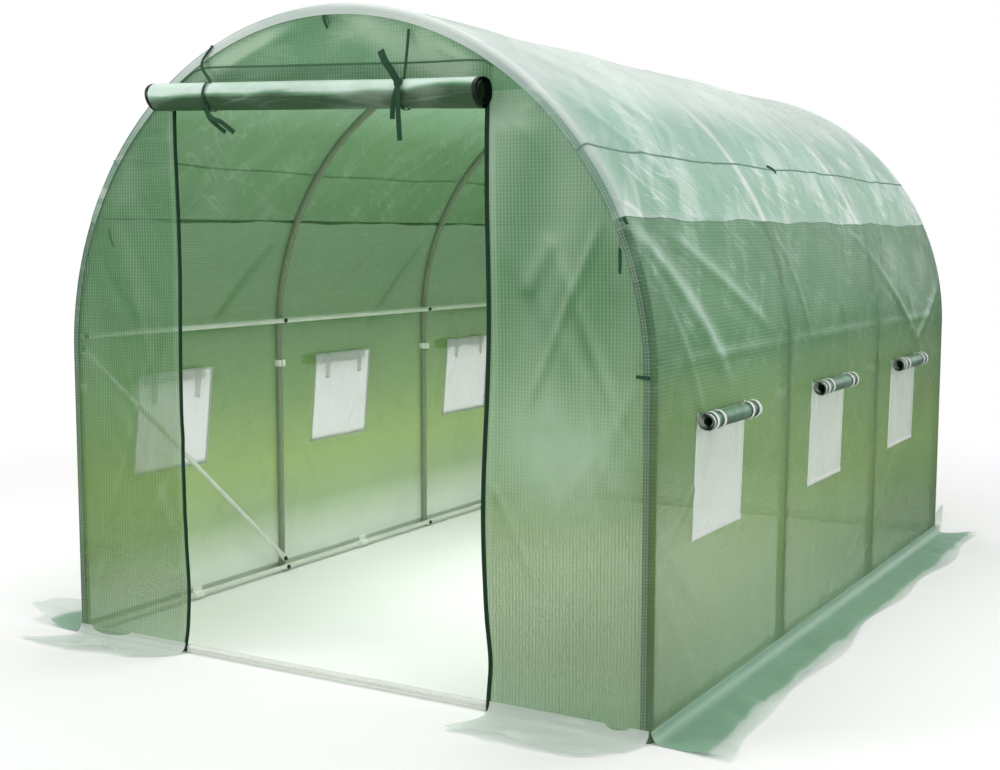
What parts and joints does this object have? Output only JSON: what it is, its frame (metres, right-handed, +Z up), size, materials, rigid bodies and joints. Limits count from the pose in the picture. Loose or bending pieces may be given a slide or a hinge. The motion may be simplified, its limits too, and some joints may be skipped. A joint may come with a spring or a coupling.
{
  "type": "garden tunnel greenhouse",
  "caption": "Round-topped garden tunnel greenhouse: bent steel tube hoops and rails under a sewn film cover, with a rolled-up zip door, netted side windows and ground skirts.",
  "frame": {"origin": "on the ground, in the middle of the footprint", "axes": "+Z up, +Y along the tunnel from the door to the back, +X to the right seen from the door"},
  "size_m": [2.44, 3.3, 1.8998],
  "materials": {
    "tube": "galvanised steel tube with a pale grey-green coat",
    "fitting": "white moulded plastic",
    "side_film": "green polyethylene film with a woven grid of reinforcing threads",
    "roof_film": "pale green polyethylene film with a woven grid of reinforcing threads, bright with sky light",
    "skirt_film": "thin milky green polyethylene film lying on the ground",
    "zip": "dark green zip tape with moulded teeth",
    "tape": "dark green woven tape",
    "net": "fine white insect netting with a white hem tape",
    "strap": "white woven strap"
  },
  "bodies": {
    "root": {"front_left_leg": "tube", "front_right_leg": "tube", "second_left_leg": "tube", "second_right_leg": "tube", "third_left_leg": "tube", "third_right_leg": "tube", "back_left_leg": "tube", "back_right_leg": "tube", "front_bow": "tube", "second_bow": "tube", "third_bow": "tube", "back_bow": "tube", "joint_collars": "fitting", "ridge_rail": "tube", "left_side_rail": "tube", "right_side_rail": "tube", "left_ground_rail": "tube", "right_ground_rail": "tube", "front_ground_rail": "tube", "back_ground_rail": "tube", "front_left_brace": "tube", "back_right_brace": "tube", "rail_clips": "fitting", "left_side_sheet": "side_film", "right_side_sheet": "side_film", "roof_sheet": "roof_film", "front_left_panel": "side_film", "front_right_panel": "side_film", "front_header": "side_film", "back_panel": "side_film", "left_skirt": "skirt_film", "right_skirt": "skirt_film", "front_left_skirt": "skirt_film", "front_right_skirt": "skirt_film", "back_skirt": "skirt_film", "door_zips": "zip", "door_roll": "roof_film", "left_door_tie": "tape", "right_door_tie": "tape", "left_window_nets": "net", "right_window_nets": "net", "left_flap_rolls": "side_film", "right_flap_rolls": "side_film", "left_flap_straps": "strap", "right_flap_straps": "strap"}
  },
  "joints": []
}
